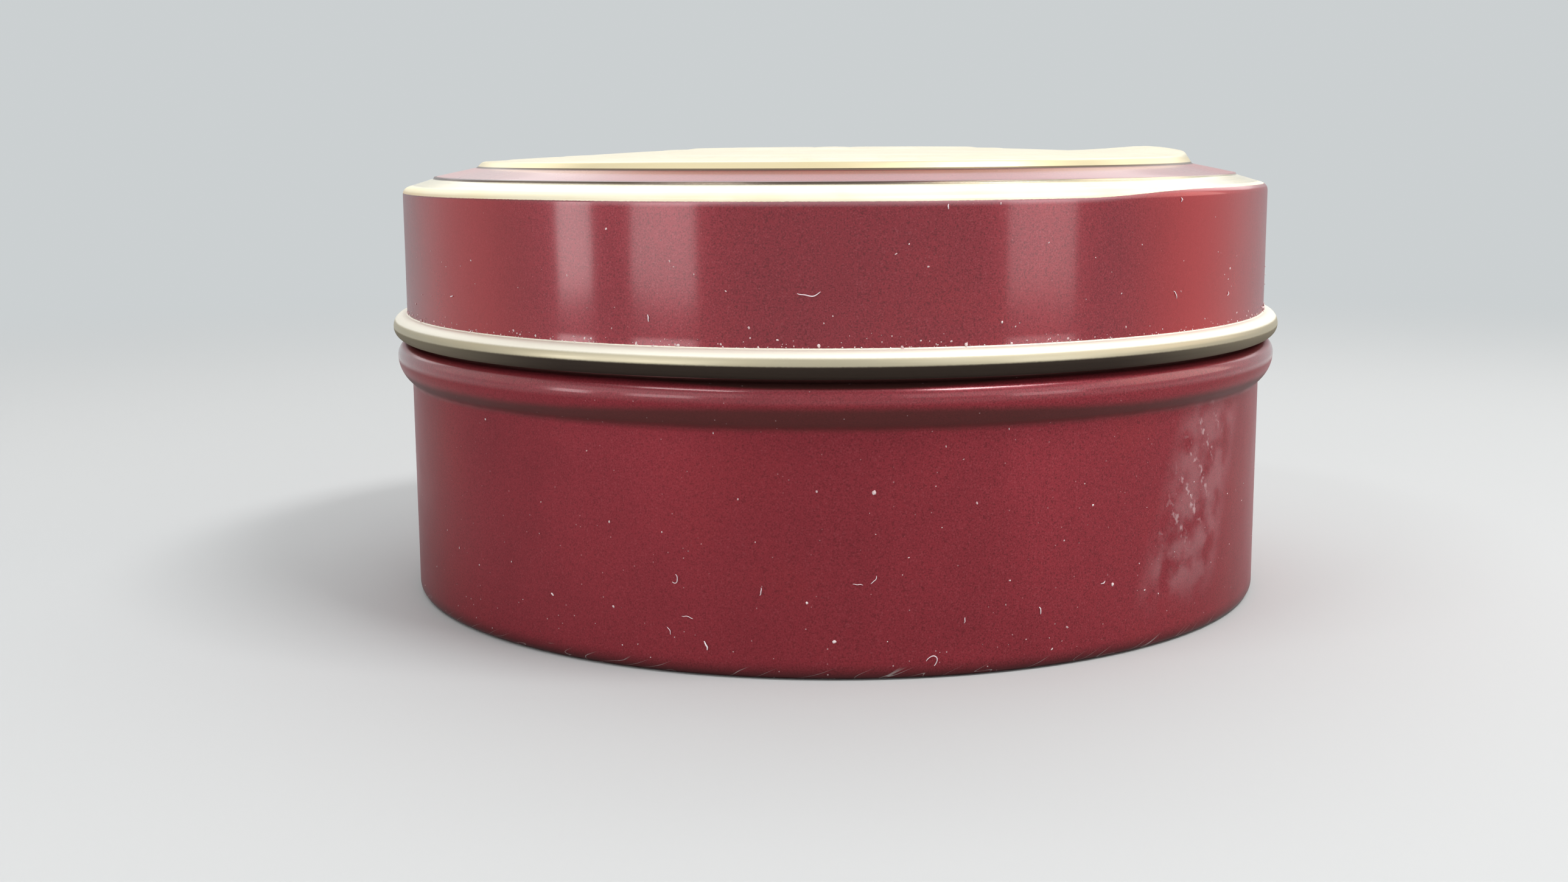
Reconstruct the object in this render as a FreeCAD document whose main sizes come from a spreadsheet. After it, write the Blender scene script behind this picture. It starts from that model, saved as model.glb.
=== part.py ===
import FreeCAD, Part
import os
import Sketcher

# A shut round sweet tin of printed tinplate, in two pieces.
#
# The base is a straight-sided drawn body with a small round at its foot, a slightly raised bottom panel and
# a bead pressed outwards just below the lid. The lid is a slip lid. Its wall runs down over the top of the
# base and ends in a hem rolled outwards, a little above the bead. Its top rises inwards in low terraces: a
# sloping shoulder, a sloping ring, and a raised panel with a gently domed face.
#
# Frame: +Z is up along the tin's axis, and the origin is the middle of the tin at the surface it stands on.
# What is inside a shut tin can't be seen, so the base is solid up to the seat of the lid, and the lid is
# solid above it.

doc = FreeCAD.newDocument("sweet_tin")

# ---- Driving dimensions, in millimetres --------------------------------------------------------------------

DRIVING_SIZES = [
    ("lid_radius", 50.0, "outside of the lid's wall"),
    ("sheet", 0.25, "thickness of the tinplate"),
    ("slip_fit", 0.1, "radial clearance between the lid's wall and the base inside it"),
    ("rim_height", 46.1, "where the lid's wall turns in to its shoulder, before rounding"),
    ("seat_depth", 0.6, "from that turn down to the seat where the lid rests on the base"),
    ("rim_round", 0.9, "round between the lid's wall and its shoulder"),
    ("shoulder_run", 3.45, "shoulder, measured inwards"),
    ("shoulder_rise", 1.05, "shoulder, measured upwards"),
    ("step_run", 0.1, "step from the shoulder to the ring, inwards"),
    ("step_rise", 0.22, "step from the shoulder to the ring, upwards"),
    ("step_round", 0.08, "round at the foot and the lip of that step"),
    ("ring_run", 4.85, "ring, inwards"),
    ("ring_rise", 1.0, "ring, upwards"),
    ("panel_step_run", 0.75, "side of the raised panel, inwards"),
    ("panel_step_rise", 0.85, "side of the raised panel, upwards"),
    ("panel_round", 0.6, "round at the panel's edge"),
    ("dome_rise", 1.25, "middle of the panel above its edge"),
    ("bead_crown", 27.3, "widest part of the bead above the foot"),
    ("bead_flank", 3.0, "bead's long lower side, from its widest part down to the wall"),
    ("bead_proud", 1.55, "bead beyond the body's wall, and the radius of its upper side"),
    ("bead_lower_blend", 0.8, "hollow round where the bead leaves the wall below"),
    ("bead_upper_blend", 0.3, "the same above, under the lid's hem"),
    ("hem_gap", 0.35, "from the bead up to the hem"),
    ("hem_tall", 2.8, "rolled hem, and twice the radius of its round"),
    ("hem_proud", 1.6, "hem beyond the lid's wall"),
    ("foot_round", 0.8, "round between the body's wall and its foot"),
    ("foot_width", 3.2, "flat ring that the tin stands on, with the round outside it"),
    ("bottom_lift", 0.9, "bottom panel above the foot"),
    ("bottom_slope", 1.4, "slope from the foot up to the bottom panel, inwards"),
]

# Places that follow from them, each worked out by the document itself.
WORKED_PLACES = [
    ("lid_bore", "sizes.lid_radius - sizes.sheet", "inside of the lid's wall"),
    ("body_radius", "lid_bore - sizes.slip_fit", "outside of the base's wall"),
    ("seat_level", "sizes.rim_height - sizes.seat_depth", "top of the base and seat of the lid"),
    ("foot_inner", "body_radius - sizes.foot_width", "inner edge of the foot"),
    ("bottom_edge", "foot_inner - sizes.bottom_slope", "edge of the raised bottom panel"),
    ("bead_edge", "body_radius + sizes.bead_proud", "radius of the bead's widest part"),
    ("bead_top", "sizes.bead_crown + sizes.bead_proud", "upper foot of the bead"),
    ("bead_bottom", "sizes.bead_crown - sizes.bead_flank", "lower foot of the bead"),
    ("flank_round", "sizes.bead_flank ^ 2 / (2 * sizes.bead_proud) + sizes.bead_proud / 2",
     "radius of the lower side's section, upright at the widest part"),
    ("flank_centre", "bead_edge - flank_round", "centre of that section"),
    ("hem_bottom", "bead_top + sizes.hem_gap", "underside of the hem and end of the lid"),
    ("hem_top", "hem_bottom + sizes.hem_tall", "upper edge of the hem"),
    ("hem_centre", "sizes.lid_radius + sizes.hem_proud - sizes.hem_tall / 2", "centre of the hem's round"),
    ("shoulder_inner", "sizes.lid_radius - sizes.shoulder_run", "inner edge of the shoulder"),
    ("shoulder_top", "sizes.rim_height + sizes.shoulder_rise", "height of that edge"),
    ("ring_outer", "shoulder_inner - sizes.step_run", "outer edge of the ring"),
    ("ring_bottom", "shoulder_top + sizes.step_rise", "height of that edge"),
    ("ring_inner", "ring_outer - sizes.ring_run", "inner edge of the ring"),
    ("ring_top", "ring_bottom + sizes.ring_rise", "height of that edge"),
    ("panel_radius", "ring_inner - sizes.panel_step_run", "edge of the panel's domed face"),
    ("panel_level", "ring_top + sizes.panel_step_rise", "height of that edge"),
    ("dome_top", "panel_level + sizes.dome_rise", "middle of the dome, the highest point"),
]

sizes = doc.addObject("Spreadsheet::Sheet", "sizes")
for row, (alias, number, meaning) in enumerate(DRIVING_SIZES, start=1):
    sizes.set(f"A{row}", meaning)
    sizes.set(f"B{row}", str(number))
    sizes.setAlias(f"B{row}", alias)
doc.recompute()

places = doc.addObject("Spreadsheet::Sheet", "places")
for row, (alias, formula, meaning) in enumerate(WORKED_PLACES, start=1):
    places.set(f"A{row}", meaning)
    places.set(f"B{row}", "=" + formula)
    places.setAlias(f"B{row}", alias)
    doc.recompute()


# ---- Ways of drawing and turning a section -----------------------------------------------------------------

START, END, CENTRE = 1, 2, 3    # the points of a line, an arc or a circle, as a sketch numbers them
RADIUS_AXIS = -1                # the sketch's horizontal axis
HEIGHT_AXIS = -2                # the sketch's vertical axis
ORIGIN_POINT = (RADIUS_AXIS, START)
SAME_PLACE = 1e-4               # two lengths nearer than this are the same, in millimetres


def full_name(alias):
    """A length's name with the sheet that holds it, as an expression writes it."""
    in_sizes = any(alias == driving for driving, number, meaning in DRIVING_SIZES)
    return ("sizes." if in_sizes else "places.") + alias


def length(alias):
    """The present value of a named length."""
    sheet_name, cell = full_name(alias).split(".")
    return float(getattr(doc.getObject(sheet_name), cell))


def tie(sketch, constraint, alias):
    """Add a dimension to a sketch and bind it to a named length."""
    index = sketch.addConstraint(constraint)
    sketch.setExpression(f"Constraints[{index}]", full_name(alias))


def new_sketch(body, name):
    """A sketch on the body's own XZ plane, where across is the radius and up is the height."""
    sketch = body.newObject("Sketcher::SketchObject", name)
    plane = next(item for item in body.Origin.OriginFeatures if item.Role == "XZ_Plane")
    sketch.AttachmentSupport = [(plane, "")]
    sketch.MapMode = "FlatFace"
    doc.recompute()
    return sketch


def place_across(sketch, geometry, point, across):
    """Hold one point of a curve at a named radius, or on the axis where the name is None."""
    if across is None:
        sketch.addConstraint(Sketcher.Constraint("PointOnObject", geometry, point, HEIGHT_AXIS))
    else:
        tie(sketch, Sketcher.Constraint("DistanceX", *ORIGIN_POINT, geometry, point, length(across)), across)


def place_point(sketch, geometry, point, across, up):
    """Hold one point of a curve at a named radius and height; a height of None is the foot's."""
    place_across(sketch, geometry, point, across)
    if up is None:
        sketch.addConstraint(Sketcher.Constraint("PointOnObject", geometry, point, RADIUS_AXIS))
    else:
        tie(sketch, Sketcher.Constraint("DistanceY", *ORIGIN_POINT, geometry, point, length(up)), up)


def arc_middle(start, end, across):
    """A point half-way along an arc that bulges to the right of the way from start to end.

    The arc's centre has the given radius on the tin, and is as far from one end as from the other.
    """
    sideways = (end.x - across) ** 2 - (start.x - across) ** 2
    up = (sideways + end.y ** 2 - start.y ** 2) / (2 * (end.y - start.y))
    centre = FreeCAD.Vector(across, up, 0)
    outwards = FreeCAD.Vector(end.y - start.y, start.x - end.x, 0).normalize()
    return centre + outwards * (start - centre).Length


def draw_outline(sketch, corners, arcs=None):
    """Close an outline through named corners with straight sides.

    A side whose number is in arcs is an arc that bulges outwards, where a side has the number of the corner
    that it starts from. The radius of the arc's centre is the length that arcs names for it, and None puts
    the centre on the tin's axis.
    """
    arcs = arcs or {}
    points = []
    for across, up in corners:
        points.append(FreeCAD.Vector(0.0 if across is None else length(across),
                                     0.0 if up is None else length(up), 0))
    count = len(corners)
    for number, start in enumerate(points):
        end = points[(number + 1) % count]
        if number in arcs:
            across = arcs[number]
            middle = arc_middle(start, end, 0.0 if across is None else length(across))
            sketch.addGeometry(Part.Arc(start, middle, end), False)
        else:
            sketch.addGeometry(Part.LineSegment(start, end), False)

    def start_and_end(number):
        """The numbers of a side's two ends, which swap where the sketch keeps an arc the other way round."""
        swapped = (sketch.getPoint(number, START) - points[number]).Length > SAME_PLACE
        return (END, START) if swapped else (START, END)

    for number in range(count):
        after = (number + 1) % count
        ends_at = start_and_end(number)[1]
        starts_at = start_and_end(after)[0]
        sketch.addConstraint(Sketcher.Constraint("Coincident", number, ends_at, after, starts_at))
    for number, (across, up) in enumerate(corners):
        place_point(sketch, number, start_and_end(number)[0], across, up)
    for number, across in arcs.items():
        place_across(sketch, number, CENTRE, across)


def turn(body, sketch, name):
    """Turn a section once round the tin's axis and join it to the body."""
    solid = body.newObject("PartDesign::Revolution", name)
    solid.Profile = sketch
    solid.ReferenceAxis = (sketch, ["V_Axis"])
    solid.Angle = 360
    sketch.Visibility = False
    doc.recompute()


def round_edges(body, name, radius, circles):
    """Round the edges that run round the tin at the named radii and heights."""
    base = body.Tip
    wanted = []
    for number, edge in enumerate(base.Shape.Edges, start=1):
        if edge.Degenerated or not isinstance(edge.Curve, Part.Circle):
            continue
        for across, up in circles:
            level = 0.0 if up is None else length(up)
            same_radius = abs(edge.Curve.Radius - length(across)) < SAME_PLACE
            if same_radius and abs(edge.Curve.Center.z - level) < SAME_PLACE:
                wanted.append(f"Edge{number}")
    if len(wanted) != len(circles):
        raise ValueError(f"{name}: {len(circles)} edges asked for, {len(wanted)} found")
    fillet = body.newObject("PartDesign::Fillet", name)
    fillet.Base = (base, wanted)
    fillet.setExpression("Radius", full_name(radius))
    doc.recompute()


def new_piece(name):
    """An empty body whose label names its file."""
    body = doc.addObject("PartDesign::Body", name)
    body.Label = name
    body.Placement = FreeCAD.Placement()
    doc.recompute()
    return body


# ---- The base ----------------------------------------------------------------------------------------------

base = new_piece("base")

# The solid drawn body, from its raised bottom panel and flat foot up to the seat of the lid.
body_section = new_sketch(base, "body_section")
draw_outline(body_section, [
    (None, "bottom_lift"),
    ("bottom_edge", "bottom_lift"),
    ("foot_inner", None),
    ("body_radius", None),
    ("body_radius", "seat_level"),
    (None, "seat_level"),
])
turn(base, body_section, "drawn_body")

# The bead, pressed outwards from the wall below the lid: widest close under the hem, with a long lower side.
bead_section = new_sketch(base, "bead_section")
draw_outline(bead_section, [
    ("foot_inner", "bead_bottom"),
    ("body_radius", "bead_bottom"),
    ("bead_edge", "bead_crown"),
    ("body_radius", "bead_top"),
    ("foot_inner", "bead_top"),
], arcs={1: "flank_centre", 2: "body_radius"})
turn(base, bead_section, "bead")

round_edges(base, "bead_lower_blending", "bead_lower_blend", [("body_radius", "bead_bottom")])
round_edges(base, "bead_upper_blending", "bead_upper_blend", [("body_radius", "bead_top")])
round_edges(base, "foot_rounding", "foot_round", [("body_radius", None)])

# ---- The lid -----------------------------------------------------------------------------------------------

lid = new_piece("lid")

# The wall of single sheet slips over the base, and the terraced top closes it above the seat.
lid_section = new_sketch(lid, "lid_section")
draw_outline(lid_section, [
    ("lid_bore", "hem_bottom"),
    ("lid_radius", "hem_bottom"),
    ("lid_radius", "rim_height"),
    ("shoulder_inner", "shoulder_top"),
    ("ring_outer", "ring_bottom"),
    ("ring_inner", "ring_top"),
    ("panel_radius", "panel_level"),
    (None, "dome_top"),
    (None, "seat_level"),
    ("lid_bore", "seat_level"),
], arcs={6: None})
turn(lid, lid_section, "wall_and_top")

# The hem: the sheet's end rolled outwards on itself, flush with the bore and round on the outside.
hem_section = new_sketch(lid, "hem_section")
draw_outline(hem_section, [
    ("lid_bore", "hem_top"),
    ("lid_bore", "hem_bottom"),
    ("hem_centre", "hem_bottom"),
    ("hem_centre", "hem_top"),
], arcs={2: "hem_centre"})
turn(lid, hem_section, "rolled_hem")

round_edges(lid, "rim_rounding", "rim_round", [("lid_radius", "rim_height")])
round_edges(lid, "step_rounding", "step_round", [
    ("shoulder_inner", "shoulder_top"),
    ("ring_outer", "ring_bottom"),
])
round_edges(lid, "panel_rounding", "panel_round", [("panel_radius", "panel_level")])

# ---- Check the document, then write each piece -------------------------------------------------------------

doc.recompute()
for item in doc.Objects:
    if "Invalid" in item.State or "Error" in item.State:
        raise RuntimeError(f"{item.Label} is {item.State}")

pieces = [base, lid]
for piece in pieces:
    shape = piece.Shape
    if shape.isNull() or not shape.isValid() or len(shape.Solids) != 1:
        raise RuntimeError(f"{piece.Label} isn't one valid solid")

os.makedirs("parts", exist_ok=True)
for piece in pieces:
    piece.Shape.exportStep(f"parts/{piece.Label}.step")
    box = piece.Shape.optimalBoundingBox()
    print(f"{piece.Label}: {box.XLength:.2f} mm across, from {box.ZMin:.2f} to {box.ZMax:.2f} mm high,"
          f" {piece.Shape.Volume / 1000:.1f} cubic centimetres")
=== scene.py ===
# %% [markdown]
# # A shut sweet tin
#
# This lesson dresses a round slip-lid sweet tin of printed tinplate: thin steel sheet with a glossy maroon
# lacquer and pale gold print. Every surface is round, so most of the work is in two things: a smooth outline
# that is turned once round the tin's axis, and finishes that know how far up and round the tin they are.
#
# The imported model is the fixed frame. It says where the tin stands and how large it is.

# %% Load the frame
import math

import bpy
import numpy as np
from mathutils import Matrix, Vector


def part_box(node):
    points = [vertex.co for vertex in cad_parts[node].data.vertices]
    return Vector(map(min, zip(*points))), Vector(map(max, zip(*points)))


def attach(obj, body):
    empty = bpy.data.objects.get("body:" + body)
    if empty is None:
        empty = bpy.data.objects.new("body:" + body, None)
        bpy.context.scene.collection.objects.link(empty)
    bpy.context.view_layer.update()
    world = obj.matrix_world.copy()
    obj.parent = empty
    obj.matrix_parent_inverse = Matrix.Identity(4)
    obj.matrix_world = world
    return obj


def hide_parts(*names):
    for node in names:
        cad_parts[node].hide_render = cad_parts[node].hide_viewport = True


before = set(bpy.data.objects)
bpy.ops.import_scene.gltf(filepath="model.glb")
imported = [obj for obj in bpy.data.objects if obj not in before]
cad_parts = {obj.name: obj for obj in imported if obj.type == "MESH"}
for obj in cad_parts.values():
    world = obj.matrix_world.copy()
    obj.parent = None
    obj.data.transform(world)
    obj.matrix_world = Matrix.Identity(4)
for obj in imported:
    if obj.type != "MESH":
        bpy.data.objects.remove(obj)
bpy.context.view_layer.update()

# %% [markdown]
# ## Sizes
#
# Every length is in millimetres and is changed to metres only when it goes into a mesh. The overall sizes
# are read from the frame's boxes. The small ones, such as the roll of the hem, are measured from those.

# %% Sizes of the tin
MM = 0.001

lid_low, lid_high = np.array(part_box("lid")) / MM
base_high = np.array(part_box("base")[1]) / MM

SHEET = 0.25  # thickness of the tinplate
HEM_PROUD = 1.6  # hem beyond the lid's wall
HEM_TALL = 2.8
BEAD_PROUD = 1.55  # bead beyond the base's wall
BEAD_FLANK = 3.0  # its long lower side, from the widest part to the wall
HEM_GAP = 0.35  # between the bead and the hem

LID_RADIUS = lid_high[0] - HEM_PROUD  # outside of the lid's wall
BODY_RADIUS = base_high[0] - BEAD_PROUD  # outside of the base's wall
SEAT = base_high[2]  # where the lid rests on the base
HEM_BOTTOM = lid_low[2]
HEM_TOP = HEM_BOTTOM + HEM_TALL
BEAD_CROWN = HEM_BOTTOM - HEM_GAP - BEAD_PROUD
BEAD_BOTTOM = BEAD_CROWN - BEAD_FLANK
TOP = lid_high[2]  # middle of the dome

# Each terrace of the top as how far it runs inwards and how far it rises.
SHOULDER = (3.45, 1.05)
STEP = (0.1, 0.22)
RING = (4.85, 1.0)
PANEL_SIDE = (0.75, 0.85)
DOME_RISE = 1.25

RISES = SHOULDER[1] + STEP[1] + RING[1] + PANEL_SIDE[1] + DOME_RISE
RIM_HEIGHT = TOP - RISES  # where the wall turns in to the shoulder
SHOULDER_INNER = LID_RADIUS - SHOULDER[0]
SHOULDER_TOP = RIM_HEIGHT + SHOULDER[1]
RING_OUTER = SHOULDER_INNER - STEP[0]
RING_BOTTOM = SHOULDER_TOP + STEP[1]
RING_INNER = RING_OUTER - RING[0]
RING_TOP = RING_BOTTOM + RING[1]
PANEL_RADIUS = RING_INNER - PANEL_SIDE[0]
PANEL_LEVEL = RING_TOP + PANEL_SIDE[1]

print(f"lid {2 * lid_high[0]:.1f} mm across and {TOP:.2f} mm high; wall radius {LID_RADIUS:.2f} mm")
print(f"hem from {HEM_BOTTOM:.2f} to {HEM_TOP:.2f} mm; bead widest at {BEAD_CROWN:.2f} mm")
print(f"rim at {RIM_HEIGHT:.2f} mm; seat at {SEAT:.2f} mm")

# %% [markdown]
# ## The camera
#
# The camera stands about 22 cm away and just above the lid, tipped down a little, so that the top shows only
# as a thin crescent. A longer lens further off would flatten the ellipses of the hem and the foot. It aims
# slightly to the left of the tin and leans by a third of a degree, as a hand-held camera does.

# %% Camera
CAMERA_BACK = 4.3747 * LID_RADIUS  # from the tin's axis
CAMERA_HEIGHT = 1.0209 * LID_RADIUS
PITCH_DOWN = 9.3
AIM_RIGHT = -1.56
ROLL = -0.36
LENS = 41.9

camera = bpy.data.objects.new("camera", bpy.data.cameras.new("camera"))
bpy.context.scene.collection.objects.link(camera)
turn_aim = Matrix.Rotation(math.radians(-AIM_RIGHT), 4, "Z")
tip_down = Matrix.Rotation(math.radians(90 - PITCH_DOWN), 4, "X")
lean = Matrix.Rotation(math.radians(ROLL), 4, "Z")
place = Matrix.Translation(Vector((0, -CAMERA_BACK, CAMERA_HEIGHT)) * MM)
camera.matrix_world = place @ turn_aim @ tip_down @ lean
camera.data.lens = LENS
camera.data.sensor_width = 36
camera.data.clip_start = 0.01
camera.data.clip_end = 20
bpy.context.scene.camera = camera
print("camera", [round(value, 4) for value in camera.location], "lens", LENS)

# %% [markdown]
# ## Outlines made of runs and rounds
#
# Pressed sheet has no sharp corners: each one is a small round that catches a line of light. The helper
# below takes a list of corners, each with the radius of its round, and gives back a line of points whose
# rounds are true arcs, tangent to the straight runs on both sides. A second helper cuts long runs into short
# steps, so that a later dent or swell has points to move.

# %% Outline helpers
def arc(centre, radius, start, end, steps):
    """Points on a circle: the centre, plus radius times the cosine and sine of angles from start to end."""
    angle = np.radians(np.linspace(start, end, steps))
    return np.array(centre) + radius * np.column_stack([np.cos(angle), np.sin(angle)])


def rounded(corners, steps=7):
    """A line through corners (radius, height, round), each corner cut off by an arc tangent to both runs.

    For a round of radius q and a half-angle w between the two runs, the arc starts q / tan w from the corner,
    and its centre lies q / sin w from it along the bisector.
    """
    place = np.array([corner[:2] for corner in corners], float)
    line = [place[:1]]
    for number in range(1, len(corners) - 1):
        here = place[number]
        back = place[number - 1] - here
        ahead = place[number + 1] - here
        back /= np.linalg.norm(back)
        ahead /= np.linalg.norm(ahead)
        half = math.acos(np.clip(back @ ahead, -1, 1)) / 2
        cut = corners[number][2] / math.tan(half)
        bisector = (back + ahead) / np.linalg.norm(back + ahead)
        middle = here + bisector * corners[number][2] / math.sin(half)
        first = here + back * cut - middle
        last = here + ahead * cut - middle
        start = math.degrees(math.atan2(first[1], first[0]))
        sweep = (math.degrees(math.atan2(last[1], last[0])) - start + 180) % 360 - 180
        line.append(arc(middle, corners[number][2], start, start + sweep, steps))
    line.append(place[-1:])
    return np.vstack(line)


def refine(line, spacing):
    """The same line with every straight run cut into equal steps that are no longer than spacing."""
    run = np.diff(line, axis=0)
    steps = np.maximum(1, np.ceil(np.hypot(*run.T) / spacing)).astype(int)
    of_run = np.repeat(np.arange(len(run)), steps)
    before = np.repeat(np.cumsum(steps) - steps, steps)
    share = (np.arange(steps.sum()) - before) / np.repeat(steps, steps)
    return np.vstack([line[of_run] + run[of_run] * share[:, None], line[-1:]])


def ease(value, low, high):
    """0 below low, 1 above high, and between them 3 t squared minus 2 t cubed, level at both ends."""
    share = np.clip((value - low) / (high - low), 0, 1)
    return share * share * (3 - 2 * share)


# %% [markdown]
# ## Turning an outline into a surface
#
# Blender's Spin tool or a Screw modifier could turn the outline too. A grid of numbers is used instead,
# because every point then has a known radius, height and angle, and one line of arithmetic can push the
# whole wall slightly out of round, as real sheet is. The two ends of the outline lie on the axis, so each
# becomes one point with a fan of triangles, and the surface is closed.

# %% From a grid to a mesh
SIDES = 480  # steps round the tin


def around(line):
    """Grids of radius, height and angle: every point of the line at every angle, 0 at the front."""
    angle = np.linspace(0, 2 * np.pi, SIDES, endpoint=False)
    radius, angle_grid = np.meshgrid(line[:, 0], angle, indexing="ij")
    height = np.repeat(line[:, 1:], SIDES, axis=1)
    return radius, height, angle_grid


def round_axis(radius, angle, height):
    """Places in space: x is radius times the sine of the angle, and y is minus radius times its cosine."""
    return np.stack([radius * np.sin(angle), -radius * np.cos(angle), height + 0 * angle], -1)


def closed_strips(number):
    """Quads between neighbouring rows of numbered points, where each row closes on itself."""
    beside = np.roll(number, -1, axis=-1)
    corners = [number[..., :-1, :], beside[..., :-1, :], beside[..., 1:, :], number[..., 1:, :]]
    return np.stack(corners, -1).reshape(-1, 4)


def fill_mesh(name, points, faces_by_size):
    """A new object at the origin from points in millimetres and arrays of faces of equal size."""
    mesh = bpy.data.meshes.new(name)
    corners = np.concatenate([faces.ravel() for faces in faces_by_size])
    sizes = np.concatenate([np.full(len(faces), faces.shape[1]) for faces in faces_by_size])
    mesh.vertices.add(len(points))
    mesh.vertices.foreach_set("co", (points * MM).astype(np.float32).ravel())
    mesh.loops.add(len(corners))
    mesh.loops.foreach_set("vertex_index", corners.astype(np.int32))
    mesh.polygons.add(len(sizes))
    mesh.polygons.foreach_set("loop_start", (np.cumsum(sizes) - sizes).astype(np.int32))
    mesh.polygons.foreach_set("use_smooth", np.ones(len(sizes), bool))
    mesh.update(calc_edges=True)
    mesh.validate()
    piece = bpy.data.objects.new(name, mesh)
    bpy.context.scene.collection.objects.link(piece)
    return piece


def turned_piece(name, radius, height, angle):
    """A closed surface of revolution: strips between the rows, and a fan round the point at each end."""
    grid = round_axis(radius, angle, height)[1:-1]
    poles = [[0, 0, height[0].mean()], [0, 0, height[-1].mean()]]
    number = np.arange(len(grid) * SIDES).reshape(-1, SIDES)
    beside = np.roll(number, -1, axis=1)
    low_fan = np.stack([beside[0], number[0], np.full(SIDES, number.size)], -1)
    high_fan = np.stack([number[-1], beside[-1], np.full(SIDES, number.size + 1)], -1)
    quads = closed_strips(number)
    piece = fill_mesh(name, np.vstack([grid.reshape(-1, 3), poles]), [quads, low_fan, high_fan])
    triangles = 2 * len(quads) + 2 * SIDES
    print(f"{name}: {triangles} triangles, {signed_volume(piece):.1f} cubic centimetres")
    return piece


def signed_volume(piece):
    """Cubic centimetres: a sixth of each triangle's triple product, positive where faces point out."""
    mesh = piece.data
    mesh.calc_loop_triangles()
    place = np.zeros(len(mesh.vertices) * 3, np.float32)
    corner = np.zeros(len(mesh.loop_triangles) * 3, np.int32)
    mesh.vertices.foreach_get("co", place)
    mesh.loop_triangles.foreach_get("vertices", corner)
    a, b, c = place.reshape(-1, 3).astype(float)[corner.reshape(-1, 3)].transpose(1, 0, 2)
    return float(np.einsum("ij,ij->i", a, np.cross(b, c)).sum() / 6) * 1e6


# %% [markdown]
# ## The base
#
# The base is one drawn can. Its foot is a flat ring with a slightly raised bottom inside it, as drawn cans
# have so that they stand steadily. Its wall is straight, and near the top a bead is pressed outwards. The
# bead is widest close under the lid's hem, and its long lower side runs softly back into the wall.
#
# The bead is four arcs that touch: a quarter circle above the widest part, a larger circle below it, and a
# small hollow blend at each foot. A blend's centre is one blend radius outside the wall, and both radii
# together from the centre of the arc it touches, which fixes its height by Pythagoras.

# %% The base's outline
FOOT_WIDTH = 3.2
FOOT_ROUND = 0.8
BOTTOM_LIFT = 0.9
BOTTOM_SLOPE = 1.4  # inwards, from the foot up to the bottom panel
BOTTOM_ROUND = 0.5
BEAD_LOWER_BLEND = 0.8
BEAD_UPPER_BLEND = 0.3
FLANK_ROUND = BEAD_FLANK ** 2 / (2 * BEAD_PROUD) + BEAD_PROUD / 2
FLANK_CENTRE = BODY_RADIUS + BEAD_PROUD - FLANK_ROUND


def blend_place(centre, radius, blend, side):
    """The centre of a blend below (side -1) or above (side 1) an arc, and the angle at which they touch."""
    aside = BODY_RADIUS + blend - centre
    drop = side * math.sqrt((radius + blend) ** 2 - aside ** 2)
    return (BODY_RADIUS + blend, BEAD_CROWN + drop), math.degrees(math.atan2(drop, aside))


def bead_outline():
    """The lower blend, the flank, the quarter circle above it and the upper blend."""
    low, low_side = blend_place(FLANK_CENTRE, FLANK_ROUND, BEAD_LOWER_BLEND, -1)
    high, high_side = blend_place(BODY_RADIUS, BEAD_PROUD, BEAD_UPPER_BLEND, 1)
    return np.vstack([
        arc(low, BEAD_LOWER_BLEND, 180, 180 + low_side, 8),
        arc((FLANK_CENTRE, BEAD_CROWN), FLANK_ROUND, low_side, 0, 18)[1:],
        arc((BODY_RADIUS, BEAD_CROWN), BEAD_PROUD, 0, high_side, 18)[1:],
        arc(high, BEAD_UPPER_BLEND, 180 + high_side, 180, 6)[1:],
    ])


foot = rounded([
    (0, BOTTOM_LIFT, 0),
    (BODY_RADIUS - FOOT_WIDTH - BOTTOM_SLOPE, BOTTOM_LIFT, BOTTOM_ROUND),
    (BODY_RADIUS - FOOT_WIDTH, 0, BOTTOM_ROUND),
    (BODY_RADIUS, 0, FOOT_ROUND),
    (BODY_RADIUS, BEAD_BOTTOM - 2, 0),
])
neck = np.array([[BODY_RADIUS, SEAT], [0, SEAT]])
base_outline = np.vstack([refine(foot, 1.2), bead_outline(), refine(neck, 8.0)])
print(f"base outline: {len(base_outline)} points; radius of the bead's flank {FLANK_ROUND:.2f} mm")

# %% [markdown]
# A perfect cylinder gives dead straight reflections and looks like plastic. Thin sheet is never quite round:
# it has broad, very shallow flats, and finer waves where it was drawn. Sine waves of a few hundredths of a
# millimetre are enough, because a mirror doubles every slope. They fade out at the foot and at the seat, so
# that the tin stands flat and the lid still fits.

# %% The base's surface
def out_of_round(angle, height, amount):
    """Broad flats: a few sines of the angle, whose phase drifts slowly with height."""
    drift = height / 60
    return amount * (0.5 * np.sin(2 * angle + 1.1 + drift) + 0.3 * np.sin(3 * angle - 0.6 - drift)
                     + 0.2 * np.sin(5 * angle + 2.3 + 2 * drift))


def fine_waves(angle, height, amount):
    """Shallow waves of the sheet: products of a sine round the tin and a sine up it."""
    return amount * (np.sin(11 * angle + height / 5) * np.sin(height / 7 + 0.8)
                     + 0.6 * np.sin(23 * angle - height / 4) * np.sin(height / 4.1 + 2.0))


radius, height, angle = around(base_outline)
below_lid = 1 - ease(height, HEM_BOTTOM - 1, HEM_BOTTOM)
on_wall = ease(height, 0.6, 4) * below_lid * (radius > BODY_RADIUS - 1)
radius = radius + on_wall * (out_of_round(angle, height, 0.05) + fine_waves(angle, height, 0.006))
base = turned_piece("tin_base", radius, height, angle)
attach(base, "root")
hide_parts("base")

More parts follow.
